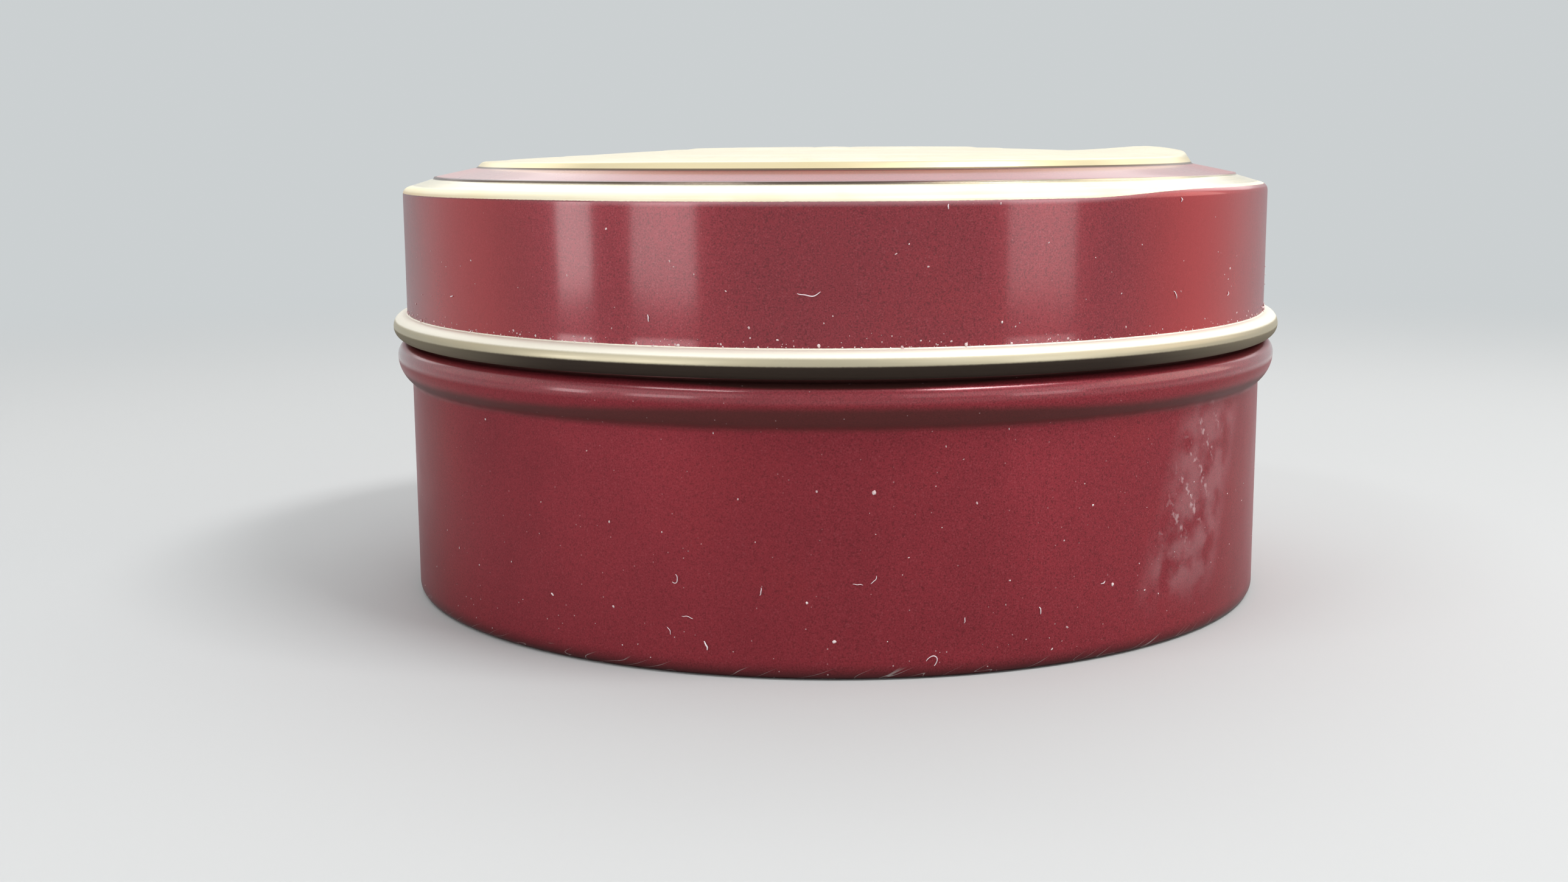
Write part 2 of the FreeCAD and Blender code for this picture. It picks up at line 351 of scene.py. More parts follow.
# %% [markdown]
# ## The lid
#
# The lid starts inside, at its seat, comes down the bore, and ends in the hem: the raw edge of the sheet
# rolled outwards, so that nobody cuts a finger. From the hem its wall goes up to a tight round, and then the
# top rises inwards in terraces. The panel in the middle is gently domed.
#
# On top, such a lid carries pressed relief. A plain, traditional pattern is used here: a border of gadroons,
# which are rounded flutes like those on old silver, two thin raised lines, and a twelve-petalled rosette.

# %% The lid's outline
BORE = LID_RADIUS - SHEET
HEM_ROUND = HEM_TALL / 2
HEM_CENTRE = LID_RADIUS + HEM_PROUD - HEM_ROUND
HEM_CREASE = 0.12  # small hollow round between hem and wall
LIP = 0.25  # round at the mouth of the bore
RIM_ROUND = 0.9
STEP_ROUND = 0.08
PANEL_FOOT_ROUND = 0.12
PANEL_ROUND = 0.6

inside = np.array([[0, SEAT], [BORE, SEAT], [BORE, HEM_BOTTOM + LIP]])
lip = arc((BORE + LIP, HEM_BOTTOM + LIP), LIP, 180, 270, 5)
roll = arc((HEM_CENTRE, HEM_BOTTOM + HEM_ROUND), HEM_ROUND, -90, 84, 40)
outside = rounded([
    tuple(roll[-1]) + (0,),
    (LID_RADIUS, HEM_TOP, HEM_CREASE),
    (LID_RADIUS, RIM_HEIGHT, RIM_ROUND),
    (SHOULDER_INNER, SHOULDER_TOP, STEP_ROUND),
    (RING_OUTER, RING_BOTTOM, STEP_ROUND),
    (RING_INNER, RING_TOP, PANEL_FOOT_ROUND),
    (PANEL_RADIUS, PANEL_LEVEL, PANEL_ROUND),
    (PANEL_RADIUS - 2, PANEL_LEVEL + 0.12, 0),
], steps=8)
dome_edge, edge_level = outside[-1]
dome_radius = np.linspace(dome_edge, 0, 84)[1:]
dome = np.column_stack([dome_radius, TOP - (TOP - edge_level) * (dome_radius / dome_edge) ** 2])
inner_line = refine(inside, 8.0)
lid_outline = np.vstack([inner_line, lip[1:], roll[1:], refine(outside, 1.0)[1:], dome])
print(f"lid outline: {len(lid_outline)} points; dome rises {TOP - edge_level:.2f} mm")

# %% The relief pressed into the panel
GADROONS = 60
PETALS = 12
FLUTE_DEEP = 0.06
PETAL_DEEP = 0.13
BOSS_DEEP = 0.16
BOSS_RADIUS = 3.2
LINE_DEEP = 0.07
LINE_RADII = (31.2, 19.4)
LINE_HALF_WIDTH = 0.6
HUMP_TALL = 0.9
HOLLOW_DEEP = 0.25
MIDDLE_SUNK = 0.14  # how far the middle of the panel is pressed down


def ridge(radius, at, half_width):
    """A rounded line: one at its middle, falling as a cosine to nought at half a width each side."""
    off = (radius - at) / half_width
    return np.where(abs(off) < 1, np.cos(off * np.pi / 2) ** 2, 0)


def pressed_relief(radius, angle):
    """Height of the pattern: flutes as the root of a cosine, petals as the root of a cosine, two ridges."""
    border = ease(radius, 32.6, 33.6) * (1 - ease(radius, 37.4, 38.6))
    flutes = abs(np.cos(GADROONS / 2 * angle + 0.4)) ** 0.6 * border
    reach = ease(radius, 3.6, 6.5) * (1 - ease(radius, 12 + 4 * abs(np.cos(PETALS / 2 * angle)), 17.5))
    petals = abs(np.cos(PETALS / 2 * angle)) ** 0.7 * reach
    boss = np.clip(1 - (radius / BOSS_RADIUS) ** 2, 0, 1)
    lines = sum(ridge(radius, at, LINE_HALF_WIDTH) for at in LINE_RADII)
    return FLUTE_DEEP * flutes + PETAL_DEEP * petals + BOSS_DEEP * boss + LINE_DEEP * lines


def swell(radius, angle):
    """The panel's dents: a hump near its right-hand edge and a broad, shallow hollow on the left."""
    across = radius * np.sin(angle)
    back = -radius * np.cos(angle)
    hump = np.exp(-((radius - 38.5) / 4.2) ** 2 - ((back - 4) / 15) ** 2) * (across > 0)
    hollow = np.exp(-((across + 35) / 12) ** 2 - (back / 26) ** 2)
    inner = 1 - ease(radius, RING_INNER - 0.9, RING_INNER - 0.2)
    return (HUMP_TALL * hump - HOLLOW_DEEP * hollow) * inner


# %% The lid's surface
radius, height, angle = around(lid_outline)
is_outside = np.arange(len(lid_outline))[:, None] >= len(inner_line)
on_wall = is_outside * ease(height, HEM_BOTTOM, HEM_TOP) * (radius > SHOULDER_INNER - 2)
on_panel = is_outside & (height > RIM_HEIGHT) & (radius < RING_INNER)
relief = on_panel * (pressed_relief(radius, angle) + swell(radius, angle))
relief = relief - on_panel * MIDDLE_SUNK * (1 - ease(radius, 2, 20))
hem_wave = is_outside * (1 - ease(height, HEM_TOP - 0.4, HEM_TOP)) * (radius > LID_RADIUS + 0.2)
radius = radius + on_wall * (out_of_round(angle, height, 0.06) + fine_waves(angle, height, 0.008))
height = height + relief + hem_wave * 0.02 * np.sin(7 * angle + 0.5) * np.sin(3 * angle)
lid = turned_piece("tin_lid", radius, height, angle)
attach(lid, "root")
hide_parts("lid")

# %% [markdown]
# ## Writing finishes as arithmetic
#
# A finish is a sum: this much colour where the height is above that, a little more roughness where a noise
# is high. Two helpers let it be written as one. A `Reading` is one output of a node, and its operators add
# Math nodes. A `Finish` makes any other node from its type, its settings and its inputs.

# %% Shader helpers
class Reading:
    """One number, colour or vector that a shader node gives, which arithmetic can use."""

    def __init__(self, finish, socket):
        self.finish = finish
        self.socket = socket

    def math(self, operation, *others, clamp=False):
        settings = {"operation": operation, "use_clamp": clamp}
        inputs = dict(enumerate((self, *others)))
        return self.finish.node("ShaderNodeMath", settings, inputs)[0]

    def __add__(self, other):
        return self.math("ADD", other)

    def __mul__(self, other):
        return self.math("MULTIPLY", other)

    def __sub__(self, other):
        return self.math("SUBTRACT", other)

    def __rsub__(self, other):
        return (self * -1) + other

    def __truediv__(self, other):
        return self.math("DIVIDE", other)

    def __pow__(self, other):
        return self.math("POWER", other)

    __radd__ = __add__
    __rmul__ = __mul__

    def clamped(self):
        return self.math("ADD", 0, clamp=True)

    def ease(self, low, high):
        """0 below low, 1 above high and level at both ends. Low may be above high, which turns it over."""
        inputs = {"Value": self, "From Min": low, "From Max": high}
        return self.finish.node("ShaderNodeMapRange", {"interpolation_type": "SMOOTHSTEP"}, inputs)[0]

    def band(self, low, high, soft):
        """1 between low and high, and 0 outside them, with edges as wide as soft."""
        return self.ease(low - soft / 2, low + soft / 2) * self.ease(high + soft / 2, high - soft / 2)


class Finish:
    """A material with one Principled shader, and a short way to add nodes that feed it."""

    def __init__(self, name):
        self.material = bpy.data.materials.new(name)
        self.material.use_nodes = True
        self.tree = self.material.node_tree
        self.shader = self.tree.nodes["Principled BSDF"]

    def node(self, kind, settings, inputs):
        """Any node: its settings are set first, then its inputs, each by name or number."""
        made = self.tree.nodes.new(kind)
        for name, value in settings.items():
            setattr(made, name, value)
        for key, value in inputs.items():
            self.feed(made.inputs[key], value)
        return [Reading(self, socket) for socket in made.outputs]

    def feed(self, socket, value):
        if isinstance(value, Reading):
            self.tree.links.new(value.socket, socket)
        elif isinstance(value, tuple) and len(value) == 3 and socket.type == "RGBA":
            socket.default_value = (*value, 1)
        else:
            socket.default_value = value

    def mix(self, first, second, share):
        """The first colour where share is 0 and the second where it is 1."""
        return self.node("ShaderNodeMix", {"data_type": "RGBA"}, {0: share, 6: first, 7: second})[2]

    def layered(self, colour, *layers):
        """The colour with others laid over it in turn, each with the share of it that shows."""
        for paint, share in layers:
            colour = self.mix(colour, paint, share)
        return colour

    def join(self, x, y, z):
        return self.node("ShaderNodeCombineXYZ", {}, {0: x, 1: y, 2: z})[0]

    def noise(self, vector, scale, detail):
        inputs = {"Vector": vector, "Scale": scale, "Detail": detail}
        return self.node("ShaderNodeTexNoise", {}, inputs)[0]

    def cells(self, vector, scale):
        """Distance to the nearest of many scattered points, and a colour of that point's own."""
        return self.node("ShaderNodeTexVoronoi", {}, {"Vector": vector, "Scale": scale})[:2]

    def split(self, vector):
        return self.node("ShaderNodeSeparateXYZ", {}, {0: vector})

    def finish_with(self, inputs, bump=()):
        """Feed the Principled shader. Each bump is a height in millimetres, and they are laid in turn."""
        normal = {}
        for height_map in bump:
            sockets = {"Strength": 1.0, "Distance": MM, "Height": height_map, **normal}
            normal = {"Normal": self.node("ShaderNodeBump", {}, sockets)[0]}
        for name, value in {**inputs, **normal}.items():
            self.feed(self.shader.inputs[name], value)
        print(f"{self.material.name}: {len(self.tree.nodes)} nodes")
        return self.material

    def printed_sheet(self, colour, rough, metallic, coat, bump, constants):
        """Colour over metal under a clear coat, with every share kept between 0 and 1."""
        shares = {"Roughness": rough, "Metallic": metallic, "Coat Weight": coat}
        kept = {name: share.clamped() for name, share in shares.items()}
        return self.finish_with({"Base Color": colour, **kept, **constants}, bump)


class TinPlaces:
    """Where a point of the tin is, in millimetres and radians, as shader readings."""

    def __init__(self, finish):
        position = finish.node("ShaderNodeTexCoord", {}, {})[3]
        inputs = {0: position, "Scale": 1 / MM}
        self.spot = finish.node("ShaderNodeVectorMath", {"operation": "SCALE"}, inputs)[0]
        self.x, self.y, self.z = finish.split(self.spot)
        self.radius = (self.x * self.x + self.y * self.y) ** 0.5
        self.angle = self.x.math("ARCTAN2", self.y * -1)
        self.arc = self.angle * LID_RADIUS
        self.wrapped = finish.join(self.arc, self.z, self.radius)
        self.sideways = self.x / self.radius
        self.aside = self.sideways.math("ABSOLUTE")


# %% [markdown]
# ## Lacquer and gold
#
# The maroon is a clear-coated red lacquer over bright tin. Light goes through the colour, meets metal and
# comes back through it, so the lacquer is partly metallic, and a thin clear coat lies on top. The pale gold
# is a metal print: where it faces a light it is almost cream, and where it faces the dark it falls to olive.
#
# Both pieces share the maroon, so one function makes it: broad clouds of deeper and warmer red, a fine
# grain, and tiny pores. Two more make specks of dust and the scores on a worn foot.

# %% Colours
MAROON = (0.266, 0.031, 0.042)
# Deeper maroon: clouds and grain in the lacquer, and painted shade on the base's left side.
MAROON_DEEP_AND_SHADE = (0.192, 0.023, 0.031)
MAROON_WARM = (0.312, 0.036, 0.039)
# Warm red painted as the light of the side lamps on the lid's wall.
WARM_LIGHT_RED = (0.480, 0.038, 0.036)
EDGE_RED = (0.60, 0.16, 0.22)  # what the lacquer's metal shows at a glancing angle
GOLD = (0.840, 0.775, 0.600)
# Pale gold painted as the highlight on the hem's top.
GOLD_HIGHLIGHT = (0.900, 0.862, 0.750)
# Deeper gold for tarnish and the panel, also painted shade on the rim's gold at the left.
GOLD_DEEP_AND_SHADE = (0.760, 0.630, 0.350)
# Olive gold painted as shade on the hem's side.
GOLD_OLIVE_SHADE = (0.400, 0.345, 0.230)
# Nearly black gold painted as shade under the hem.
GOLD_UNDER_HEM_SHADE = (0.024, 0.014, 0.009)
# Dark red for printed lines and pores, also painted shade at the foot, at the left edges and in creases.
DARK_LINE_AND_SHADE = (0.050, 0.016, 0.016)
# Grime brown, also used as painted shade on the bead and in the gap under the hem.
GRIME_AND_SHADE = (0.060, 0.026, 0.022)
# Pink for pale pores, also a painted highlight under the lid's gold.
PINK_AND_HIGHLIGHT = (0.560, 0.330, 0.360)
RING_PALE = (0.780, 0.690, 0.650)
BARE_TIN = (0.560, 0.545, 0.520)
DUST = (0.600, 0.460, 0.470)


def lacquer_colour(finish, at):
    """Maroon with broad clouds of deeper and warmer red, a fine grain, and dark and pale pores."""
    clouds = finish.noise(at.spot, 0.12, detail=4.0)
    grain = finish.noise(at.spot, 3.0, detail=3.0)
    pores = finish.noise(at.spot, 7.0, detail=1.0)
    return finish.layered(
        MAROON,
        (MAROON_DEEP_AND_SHADE, clouds.ease(0.45, 0.75) * 0.4),
        (MAROON_WARM, clouds.ease(0.50, 0.25) * 0.3),
        (MAROON_DEEP_AND_SHADE, grain.ease(0.45, 0.75) * 0.6),
        (DARK_LINE_AND_SHADE, pores.ease(0.50, 0.70) * 0.50),
        (PINK_AND_HIGHLIGHT, pores.ease(0.44, 0.25) * 0.08),
    )


def specks(finish, vector, scale, share, size):
    """Small round specks: in that share of scattered cells, points nearer than size to the cell's own."""
    distance, chance = finish.cells(vector, scale)
    chosen = finish.split(chance)[0].ease(1 - share, 1 - share + 0.02)
    return distance.ease(size, size * 0.45) * chosen


def scratches(finish, at, turn, scale, thin):
    """Long thin lines: the level lines of a noise that is drawn out twenty times along one direction."""
    drawn = finish.node("ShaderNodeMapping", {"vector_type": "TEXTURE"}, {
        "Vector": at.wrapped,
        "Rotation": (0, 0, math.radians(turn)),
        "Scale": (20 / scale, 1 / scale, 1 / scale),
    })[0]
    level = finish.noise(drawn, 1.0, detail=0.0)
    return level.math("SUBTRACT", 0.5).math("ABSOLUTE").ease(thin, 0)


# %% [markdown]
# ## Finish of the base
#
# The base is maroon all over. Painted shade makes its left side a little deeper and its left edge darker
# still. Handling has left a whitish scuff on the right, with short slanting streaks in it. Painted shade,
# with a little grime, lies on the bead's long lower side, and painted shade lies in the gap under the hem.
# Between them the bead's crown is rubbed clean and keeps its full clear coat. A painted shadow darkens the
# lacquer towards the foot, and the flat ring on which the tin slides is worn through to bare tin.
#
# Each mark has its own place and its own kind of noise. `sideways` is -1 at the far left and 1 at the far
# right, and `aside` is the same without its sign.

# %% Marks on the base
SCUFF_ANGLE = 0.86  # radians to the right of the front
SCUFF_LEVEL = 15.0
STREAK_LEVEL = 18.0


def scuff_mask(finish, at):
    """A tall patch on the right, broken up by noise, wider at the bottom than at the top."""
    off = (at.angle - SCUFF_ANGLE) * BODY_RADIUS - (at.z - SCUFF_LEVEL) * 0.35
    wide = off.band(-5.5, 6.5, 4.5)
    tall = at.z.band(5.0, 24.0, 5.0)
    patchy = finish.noise(at.wrapped, 0.28, detail=4.0).ease(0.32, 0.62)
    return wide * tall * patchy


def scuff_streaks(finish, at):
    """Short slanting strokes: fine waves across a slant, kept only where a coarser noise is high."""
    across = (at.arc * 0.80 + at.z * 0.60) * 2.1
    wobble = finish.noise(at.wrapped, 0.9, detail=2.0)
    stroke = (across + wobble * 2.5).math("SINE").ease(0.35, 0.95)
    broken = finish.noise(at.wrapped, 1.5, detail=1.0).ease(0.50, 0.66)
    off = (at.angle - SCUFF_ANGLE) * BODY_RADIUS - (at.z - STREAK_LEVEL) * 0.45
    return stroke * broken * off.band(-3.6, 3.2, 3.0) * at.z.band(10.5, 23.5, 4.0)


def bead_marks(finish, at):
    """Painted shade with some grime on the bead's lower side, painted shade in the gap above it, and the
    clean crown between them.
    """
    uneven = finish.noise(at.wrapped, 0.6, detail=3.0) * 0.5 - 0.25
    # Painted shade, with some grime, on the bead's long lower side.
    grime_and_shade = (at.z + uneven).ease(BEAD_BOTTOM - 0.5, BEAD_BOTTOM + 0.6)
    upper_edge = at.z + uneven * 0.5 + at.aside.ease(0.1, 0.7) * 0.9
    grime_and_shade = grime_and_shade * upper_edge.ease(BEAD_CROWN - 0.3, BEAD_CROWN - 1.2)
    # Painted shade in the gap under the lid's hem.
    gap_shade = (at.z - at.aside.ease(0.10, 0.40) * 0.45).ease(BEAD_CROWN + 0.92, BEAD_CROWN + 1.20)
    on_bead = at.radius.ease(BODY_RADIUS, BODY_RADIUS + 0.5)
    crown = at.z.band(BEAD_CROWN - 0.3, BEAD_CROWN + 1.1, 0.6) * on_bead
    return grime_and_shade, gap_shade, crown


# %% Base finish
LACQUER_EDGE = {
    "Coat IOR": 1.45,
    "Specular IOR Level": 0.2,
    "Specular Tint": (*EDGE_RED, 1),
}


def make_base_finish():
    """Lacquer, then painted shade on the left, painted shade with grime on the bead, a painted shadow at the
    foot, the scuff, dust and bare tin laid over each other.
    """
    finish = Finish("maroon_lacquer_base")
    at = TinPlaces(finish)
    on_side = at.radius.ease(BODY_RADIUS - 1.5, BODY_RADIUS - 0.8)
    grime_and_shade, gap_shade, crown = bead_marks(finish, at)
    scuff = scuff_mask(finish, at)
    streaks = scuff_streaks(finish, at)
    fine = specks(finish, at.wrapped, 1.9, 0.10, 0.16) + specks(finish, at.wrapped, 0.8, 0.05, 0.07)
    low = at.z.ease(9.0, 0.5)
    worn = at.z.ease(0.10, 0.02) * finish.noise(at.spot, 0.9, detail=5.0).ease(0.30, 0.70)
    scored = scratches(finish, at, 24, 1.1, 0.012) * at.z.ease(1.4, 0.4)

    colour = finish.layered(
        lacquer_colour(finish, at),
        # Painted shade: the left side a little deeper, and its edge darker still.
        (MAROON_DEEP_AND_SHADE, at.sideways.ease(0.50, -0.20) * on_side * 0.30),
        (DARK_LINE_AND_SHADE, at.sideways.ease(-0.80, -1.0) * on_side * 0.35),
        # Painted shade, with some grime, on the bead's lower side, and painted shade in the gap under the
        # hem.
        (GRIME_AND_SHADE, grime_and_shade * 0.80),
        (GRIME_AND_SHADE, gap_shade * 0.9),
        # Painted shadow: darker towards the foot, where the tin meets the floor.
        (DARK_LINE_AND_SHADE, at.z.ease(1.9, 0.1) * on_side * 0.88),
        (DUST, scuff * 0.16 + streaks * 0.42),
        (DUST, fine * (low * 0.6 + 0.35)),
        (BARE_TIN, worn * 0.8 + scored * 0.5),
    )
    smear = finish.noise(at.wrapped, 0.12, detail=3.0)
    peel = finish.noise(at.spot, 1.3, detail=2.0) * 0.006
    return finish.printed_sheet(
        colour,
        rough=smear * 0.14 + 0.27 + scuff * 0.22 + fine * 0.3 + grime_and_shade * 0.15,
        metallic=0.44 - scuff * 0.25 - fine * 0.4 - streaks * 0.3 - grime_and_shade * 0.4 - crown * 0.25 + worn * 0.4,
        coat=crown * 0.85 + 0.15 - worn * 0.15 - grime_and_shade * 0.15,
        bump=[peel, streaks * 0.01 - scored * 0.01],
        constants={**LACQUER_EDGE, "Coat Roughness": 0.15},
    )


base.data.materials.append(make_base_finish())

# %% [markdown]
# ## Finish of the lid
#
# The lid carries two colours. Gold covers the hem, the shoulder and the raised panel, and maroon covers the
# wall and the sloping ring. Printing and pressing never line up exactly: the outer edge of the gold slips
# from below the rim on the left to above it on the right. Where two colours meet, the printer has left a
# thin dark line, and the edges are slightly ragged. Where such a line lies in a crease, painted crease shade
# darkens it too.
#
# The edge on the rim is measured along the sheet: up the wall and then inwards over the round, which is
# simply the height plus how far the point is inside the wall.

# %% Where each colour lies on the lid
PRINT_EDGE = RIM_HEIGHT - 0.44  # lower edge of the shoulder's gold, measured along the sheet


class LidPlaces(TinPlaces):
    """Also the lid's printed areas: how far a point is above the gold's edge, and what lies where."""

    def __init__(self, finish):
        super().__init__(finish)
        self.ragged = finish.noise(self.spot, 3.0, detail=3.0) * 0.10 - 0.05
        self.on_top = self.z.ease(RIM_HEIGHT, RIM_HEIGHT + 0.5)
        self.near_rim = self.z.ease(RIM_HEIGHT - 2, RIM_HEIGHT - 1)
        along_sheet = self.z + (LID_RADIUS - self.radius)
        slip = self.sideways.ease(0.485, 0.77)
        self.above_edge = along_sheet + self.ragged - slip - PRINT_EDGE
        ragged_radius = self.radius + self.ragged * 0.2
        self.shoulder = self.above_edge.ease(-0.03, 0.03) * ragged_radius.ease(RING_OUTER, RING_OUTER + 0.04)
        self.panel = self.on_top * self.radius.ease(RING_INNER + 0.02, RING_INNER - 0.04)
        self.hem = (self.z + self.ragged * 0.6).ease(HEM_TOP + 0.13, HEM_TOP + 0.06)
        self.gold = (self.shoulder + self.panel + self.hem).clamped()
        grooves = finish.join(self.angle * 6, self.z * 3.5, self.radius * 3.5)
        self.streaky = finish.noise(grooves, 1.0, detail=2.0)


def print_and_crease_shade_lines(at):
    """Thin dark lines: printed under the gold on the left, and printed with painted crease shade between
    shoulder and ring and round the panel.
    """
    outer = at.above_edge.band(-0.16, -0.02, 0.08) * at.near_rim * at.sideways.ease(-0.25, -0.60)
    # The lines between shoulder and ring and round the panel lie in creases: print and painted crease shade,
    # lighter on the right.
    ring = (at.radius + at.ragged * 0.2).band(RING_OUTER - 0.30, SHOULDER_INNER + 0.04, 0.12)
    ring = ring * (1 - at.sideways.ease(0.05, 0.65) * 0.8)
    panel = at.radius.band(RING_INNER - 0.16, RING_INNER + 0.12, 0.06)
    return (outer * 0.5 + (ring + panel) * at.on_top).clamped()


# %% [markdown]
# The lid's maroon isn't even either. It has faded to a dusty pink on the ring, most of all towards the
# sides. On the wall a patch at each side is painted a warmer red, as painted warm light, and the wall's left
# edge is darkened by painted shade. In the middle, just under the gold, a pink painted highlight lies on the
# rim's round.
#
# The gold is tarnished in soft clouds and streaked by the rolls that shaped it. The hem was handled most,
# and its top is rubbed matt. Its gold carries painted light and shade: a pale painted highlight on its top,
# olive painted shade on its side, and nearly black painted shade on its underside, with a little dirt.

# %% The two colours of the lid
def lid_maroon(finish, at):
    """Lacquer, then the faded ring, painted warm light in a patch at each side, painted shade at the left
    edge and a pink painted highlight under the gold.
    """
    faded = at.aside.ease(0.30, 0.75) * (at.sideways.ease(-0.30, -0.90) * 0.30 + 0.38)
    # Painted warm light: a warmer red patch at each side of the wall, stronger on the right.
    patch = at.aside.band(0.64, 0.90, 0.24) * (at.sideways.ease(-0.2, 0.2) * 0.15 + 0.50)
    # Painted highlight: pink on the rim's round just under the gold, in the middle.
    rim_highlight = at.above_edge.ease(-0.62, -0.04) * (1 - at.above_edge.ease(-0.04, 0.02)) * at.near_rim
    rim_highlight = rim_highlight * at.sideways.ease(-0.70, -0.20) * at.sideways.ease(0.72, 0.45)
    return finish.layered(
        lacquer_colour(finish, at),
        (RING_PALE, at.on_top * faded),
        (WARM_LIGHT_RED, (1 - at.on_top) * patch),
        # Painted shade at the wall's left edge.
        (DARK_LINE_AND_SHADE, (1 - at.on_top) * at.sideways.ease(-0.84, -1.0) * 0.45),
        (PINK_AND_HIGHLIGHT, rim_highlight * 0.45),
    )


def lid_gold(finish, at):
    """The gold's colour with a painted highlight and painted shade on the hem, the mask of the painted shade
    under the hem, and how matt the gold is.
    """
    tarnish = finish.noise(at.spot, 0.16, detail=3.0)
    stained = tarnish.ease(0.38, 0.85) * 0.4 + at.streaky.ease(0.5, 0.8) * 0.2
    ragged_height = at.z + at.ragged * 0.5
    # Painted highlight: the hem's top pale, almost cream.
    hem_top_highlight = at.z.ease(HEM_TOP - 0.85, HEM_TOP - 0.6) * at.hem
    # Painted shade: olive on the hem's side.
    hem_side_shade = ragged_height.ease(HEM_BOTTOM + 2.25, HEM_BOTTOM + 2.0) * at.hem
    # Painted shade, nearly black, under the hem, with a little dirt.
    hem_underside_shade = ragged_height.ease(HEM_BOTTOM + 1.46, HEM_BOTTOM + 1.24) * at.hem
    at_rim = at.radius.ease(LID_RADIUS - 1.3, LID_RADIUS - 0.7) * at.shoulder
    riser = at.z.ease(PANEL_LEVEL + 0.05, PANEL_LEVEL - 0.25) * at.panel
    colour = finish.layered(
        GOLD,
        (GOLD_DEEP_AND_SHADE, stained),
        # On the left, the gold at the rim is deepened by painted shade.
        (GOLD_DEEP_AND_SHADE, at_rim * at.sideways.ease(-0.40, -0.85) * 0.32 + riser * 0.5 + at.panel * 0.22),
        (GOLD_HIGHLIGHT, hem_top_highlight * 0.9),
        (GOLD_OLIVE_SHADE, hem_side_shade * (at.aside.ease(0.3, 0.9) * 0.15 + 0.72)),
        (GOLD_UNDER_HEM_SHADE, hem_underside_shade * (0.99 - at.aside.ease(0.5, 0.95) * 0.35)),
    )
    matt = (at_rim + hem_top_highlight + hem_side_shade * 0.5 + at.panel * 0.2).clamped()
    return colour, hem_underside_shade, matt


def crease_specks(finish, at):
    """Fine dust: thick in the crease above the hem, thin elsewhere, and none below the hem's top."""
    crease = at.z.ease(HEM_TOP + 2.2, HEM_TOP) * (1 - at.hem)
    fine = specks(finish, at.wrapped, 2.2, 0.12, 0.16) * (crease * 0.9 + 0.10)
    coarse = specks(finish, at.wrapped, 0.7, 0.04, 0.06) * 0.5
    return (fine + coarse) * at.z.ease(HEM_TOP - 0.3, HEM_TOP)


# %% Lid finish
def make_lid_finish(name, constants):
    """Both colours with all their edges. The constants are sockets with one value all over."""
    finish = Finish(name)
    at = LidPlaces(finish)
    gold_colour, hem_underside_shade, matt = lid_gold(finish, at)
    outline = print_and_crease_shade_lines(at)
    fine = crease_specks(finish, at)
    colour = finish.layered(
        lid_maroon(finish, at),
        (gold_colour, at.gold),
        (DARK_LINE_AND_SHADE, outline * 0.85),
        (DUST, fine),
    )
    rough_maroon = finish.noise(at.wrapped, 0.10, detail=3.0) * 0.12 + 0.22
    rough_gold = at.streaky * 0.10 + 0.20 + hem_underside_shade * 0.45 + matt * 0.3
    peel = finish.noise(at.spot, 1.1, detail=2.0) * 0.006
    return finish.printed_sheet(
        colour,
        rough=rough_maroon + (rough_gold - rough_maroon) * at.gold + fine * 0.3,
        metallic=at.gold * 0.65 + 0.30 - outline * 0.2 - fine * 0.3 - hem_underside_shade * 0.6 - matt * 0.5,
        coat=0.85 - at.gold * 0.60 - at.on_top * 0.35 - hem_underside_shade * 0.25 - at.aside.ease(0.82, 1.0) * 0.70,
        bump=[peel, at.streaky * at.hem * 0.012],
        constants=constants,
    )


# %% [markdown]
# The clear coat's own roughness and how much it bends light can't change over one material. So the lid has
# two materials that share every pattern and differ only in those values. Each face takes the one that
# covers most of it, and the patterns run on across the border.

# %% Gilded and lacquered faces
LACQUERED = {**LACQUER_EDGE, "Coat Roughness": 0.11}
GILDED = {"Coat Roughness": 0.15, "Coat IOR": 1.4, "Specular IOR Level": 0.3}
lid.data.materials.append(make_lid_finish("lid_gold", GILDED))
lid.data.materials.append(make_lid_finish("lid_maroon", LACQUERED))

middle = np.zeros(len(lid.data.polygons) * 3, np.float32)
lid.data.polygons.foreach_get("center", middle)
middle = middle.reshape(-1, 3) / MM
face_radius = np.hypot(middle[:, 0], middle[:, 1])
on_wall = (middle[:, 2] > HEM_TOP + 0.2) & (middle[:, 2] < RIM_HEIGHT - 0.2) & (face_radius > BORE + 0.1)
on_ring = (face_radius < RING_OUTER) & (face_radius > RING_INNER) & (middle[:, 2] > RIM_HEIGHT)
lid.data.polygons.foreach_set("material_index", (on_wall | on_ring).astype(np.int32))
print(f"lid: {int((on_wall | on_ring).sum())} faces are lacquered and the rest gilded")

# %% [markdown]
# ## Dust and lint
#
# Dust grains and textile fibres are what makes lacquered tin look handled. Each grain is a little solid: an
# icosahedron whose corners are pushed in and out, squashed flat against the wall. All grains of one piece
# are worked out together, as one array of grains times corners, and make one mesh.

